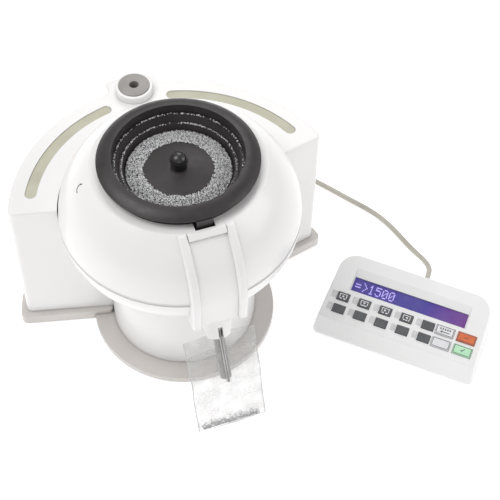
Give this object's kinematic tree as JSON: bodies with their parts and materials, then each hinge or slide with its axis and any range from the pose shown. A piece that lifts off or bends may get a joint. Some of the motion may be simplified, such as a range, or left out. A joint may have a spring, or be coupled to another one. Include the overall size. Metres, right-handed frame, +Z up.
{
  "type": "vibratory tablet counter",
  "caption": "Bench tablet counter: vibrating feeder bowl on a domed drive unit, sector-shaped rear housing, leaning outlet tube with a clipped bag, and a wired display keypad.",
  "frame": {"origin": "on the bench, under the axis of the feeder bowl", "axes": "+Z up along the bowl's axis, the outlet faces -Y, the rear pillar with the mains inlet faces +Y, the keypad lies to the front right at +X and -Y"},
  "size_m": [0.3732, 0.3016, 0.1972],
  "materials": {
    "base_grey": "satin",
    "pad_rubber": "matte",
    "housing_white": "gloss",
    "seam_grey": "matte",
    "strip_beige": "matte",
    "socket_grey": "satin",
    "bowl_black": "satin",
    "knob_black": "gloss",
    "drive_iron": "matte",
    "coil_copper": "satin",
    "spring_steel": "brushed",
    "head_aluminium": "satin",
    "funnel_plastic": "matte",
    "sensor_black": "matte",
    "eye_glass": "clear",
    "tube_steel": "brushed",
    "rod_chrome": "polished",
    "bag_film": "clear",
    "fixing_steel": "plain",
    "board_green": "matte",
    "supply_metal": "matte",
    "inlet_black": "matte",
    "cable_grey": "matte",
    "keypad_white": "satin",
    "display_glass": "clear",
    "display_violet": "matte",
    "key_grey": "matte",
    "key_white": "matte",
    "key_orange": "matte",
    "key_mint": "matte"
  },
  "bodies": {
    "root": {"base_plate": "base_grey", "rubber_feet": "pad_rubber", "rear_housing": "housing_white", "slot_strip_left": "strip_beige", "slot_strip_right": "strip_beige", "post_socket": "socket_grey", "pedestal_shell": "housing_white", "dome_lower_band": "housing_white", "dome_joint_ring": "seam_grey", "dome_upper_shell": "housing_white", "chute_cover": "housing_white", "isolation_mounts": "pad_rubber", "drive_casting": "drive_iron", "magnet_core": "drive_iron", "magnet_coil": "coil_copper", "leaf_spring_1": "spring_steel", "leaf_spring_2": "spring_steel", "leaf_spring_3": "spring_steel", "chute_funnel": "funnel_plastic", "sensor_block": "sensor_black", "sensor_eyes": "eye_glass", "outlet_tube": "tube_steel", "clip_pin": "rod_chrome", "clip_spring": "rod_chrome", "zip_bag": "bag_film", "board_standoffs": "fixing_steel", "main_board": "board_green", "power_supply": "supply_metal", "mains_inlet": "inlet_black", "switch_body": "inlet_black", "cable_gland": "cable_grey", "keypad_top_shell": "keypad_white", "keypad_bottom_shell": "keypad_white", "keypad_feet": "pad_rubber", "keypad_screws": "fixing_steel", "display_glass": "display_glass", "display_module": "display_violet", "keypad_board": "board_green", "keypad_relief": "cable_grey", "keypad_cable": "cable_grey"},
    "bowl": {"feeder_bowl": "bowl_black", "drive_head": "head_aluminium", "armature": "drive_iron"},
    "knob": {"bowl_knob": "knob_black"},
    "clip": {"bag_clip_rod": "rod_chrome"},
    "rocker": {"power_rocker": "inlet_black"},
    "key_1_1": {"key_1_1": "key_grey"},
    "key_1_2": {"key_1_2": "key_grey"},
    "key_1_3": {"key_1_3": "key_grey"},
    "key_1_4": {"key_1_4": "key_grey"},
    "key_1_5": {"key_1_5": "key_grey"},
    "key_1_6": {"key_1_6": "key_white"},
    "key_1_7": {"key_1_7": "key_orange"},
    "key_2_1": {"key_2_1": "key_grey"},
    "key_2_2": {"key_2_2": "key_grey"},
    "key_2_3": {"key_2_3": "key_grey"},
    "key_2_4": {"key_2_4": "key_grey"},
    "key_2_5": {"key_2_5": "key_grey"},
    "key_2_6": {"key_2_6": "key_white"},
    "key_2_7": {"key_2_7": "key_mint"}
  },
  "joints": [
    {"name": "bowl_vibration", "type": "hinge", "parent": "root", "child": "bowl", "pos_m": [0, 0, 0.17], "axis": [0, 0, 1], "range_deg": [-1, 1], "stiffness_Nm_per_rad": 40},
    {"name": "knob_turn", "type": "hinge", "parent": "bowl", "child": "knob", "pos_m": [0, 0, 0.1896], "axis": [0, 0, 1], "continuous": true},
    {"name": "clip_swing", "type": "hinge", "parent": "root", "child": "clip", "pos_m": [0, -0.09382, 0.09973], "axis": [-1, 0, 0], "range_deg": [0, 20], "stiffness_Nm_per_rad": 0.05, "springref_deg": -11.46},
    {"name": "power_rocker_tip", "type": "hinge", "parent": "root", "child": "rocker", "pos_m": [0, 0.1413, 0.078], "axis": [1, 0, 0], "range_deg": [-16, 0]},
    {"name": "key_1_1_press", "type": "slide", "parent": "root", "child": "key_1_1", "axis": [0.1746, 0.1956, -0.965], "range_m": [0, 0.0008], "stiffness_N_per_m": 400, "springref_m": -0.001},
    {"name": "key_1_2_press", "type": "slide", "parent": "root", "child": "key_1_2", "axis": [0.1746, 0.1956, -0.965], "range_m": [0, 0.0008], "stiffness_N_per_m": 400, "springref_m": -0.001},
    {"name": "key_1_3_press", "type": "slide", "parent": "root", "child": "key_1_3", "axis": [0.1746, 0.1956, -0.965], "range_m": [0, 0.0008], "stiffness_N_per_m": 400, "springref_m": -0.001},
    {"name": "key_1_4_press", "type": "slide", "parent": "root", "child": "key_1_4", "axis": [0.1746, 0.1956, -0.965], "range_m": [0, 0.0008], "stiffness_N_per_m": 400, "springref_m": -0.001},
    {"name": "key_1_5_press", "type": "slide", "parent": "root", "child": "key_1_5", "axis": [0.1746, 0.1956, -0.965], "range_m": [0, 0.0008], "stiffness_N_per_m": 400, "springref_m": -0.001},
    {"name": "key_1_6_press", "type": "slide", "parent": "root", "child": "key_1_6", "axis": [0.1746, 0.1956, -0.965], "range_m": [0, 0.0008], "stiffness_N_per_m": 400, "springref_m": -0.001},
    {"name": "key_1_7_press", "type": "slide", "parent": "root", "child": "key_1_7", "axis": [0.1746, 0.1956, -0.965], "range_m": [0, 0.0008], "stiffness_N_per_m": 400, "springref_m": -0.001},
    {"name": "key_2_1_press", "type": "slide", "parent": "root", "child": "key_2_1", "axis": [0.1746, 0.1956, -0.965], "range_m": [0, 0.0008], "stiffness_N_per_m": 400, "springref_m": -0.001},
    {"name": "key_2_2_press", "type": "slide", "parent": "root", "child": "key_2_2", "axis": [0.1746, 0.1956, -0.965], "range_m": [0, 0.0008], "stiffness_N_per_m": 400, "springref_m": -0.001},
    {"name": "key_2_3_press", "type": "slide", "parent": "root", "child": "key_2_3", "axis": [0.1746, 0.1956, -0.965], "range_m": [0, 0.0008], "stiffness_N_per_m": 400, "springref_m": -0.001},
    {"name": "key_2_4_press", "type": "slide", "parent": "root", "child": "key_2_4", "axis": [0.1746, 0.1956, -0.965], "range_m": [0, 0.0008], "stiffness_N_per_m": 400, "springref_m": -0.001},
    {"name": "key_2_5_press", "type": "slide", "parent": "root", "child": "key_2_5", "axis": [0.1746, 0.1956, -0.965], "range_m": [0, 0.0008], "stiffness_N_per_m": 400, "springref_m": -0.001},
    {"name": "key_2_6_press", "type": "slide", "parent": "root", "child": "key_2_6", "axis": [0.1746, 0.1956, -0.965], "range_m": [0, 0.0008], "stiffness_N_per_m": 400, "springref_m": -0.001},
    {"name": "key_2_7_press", "type": "slide", "parent": "root", "child": "key_2_7", "axis": [0.1746, 0.1956, -0.965], "range_m": [0, 0.0008], "stiffness_N_per_m": 400, "springref_m": -0.001}
  ]
}
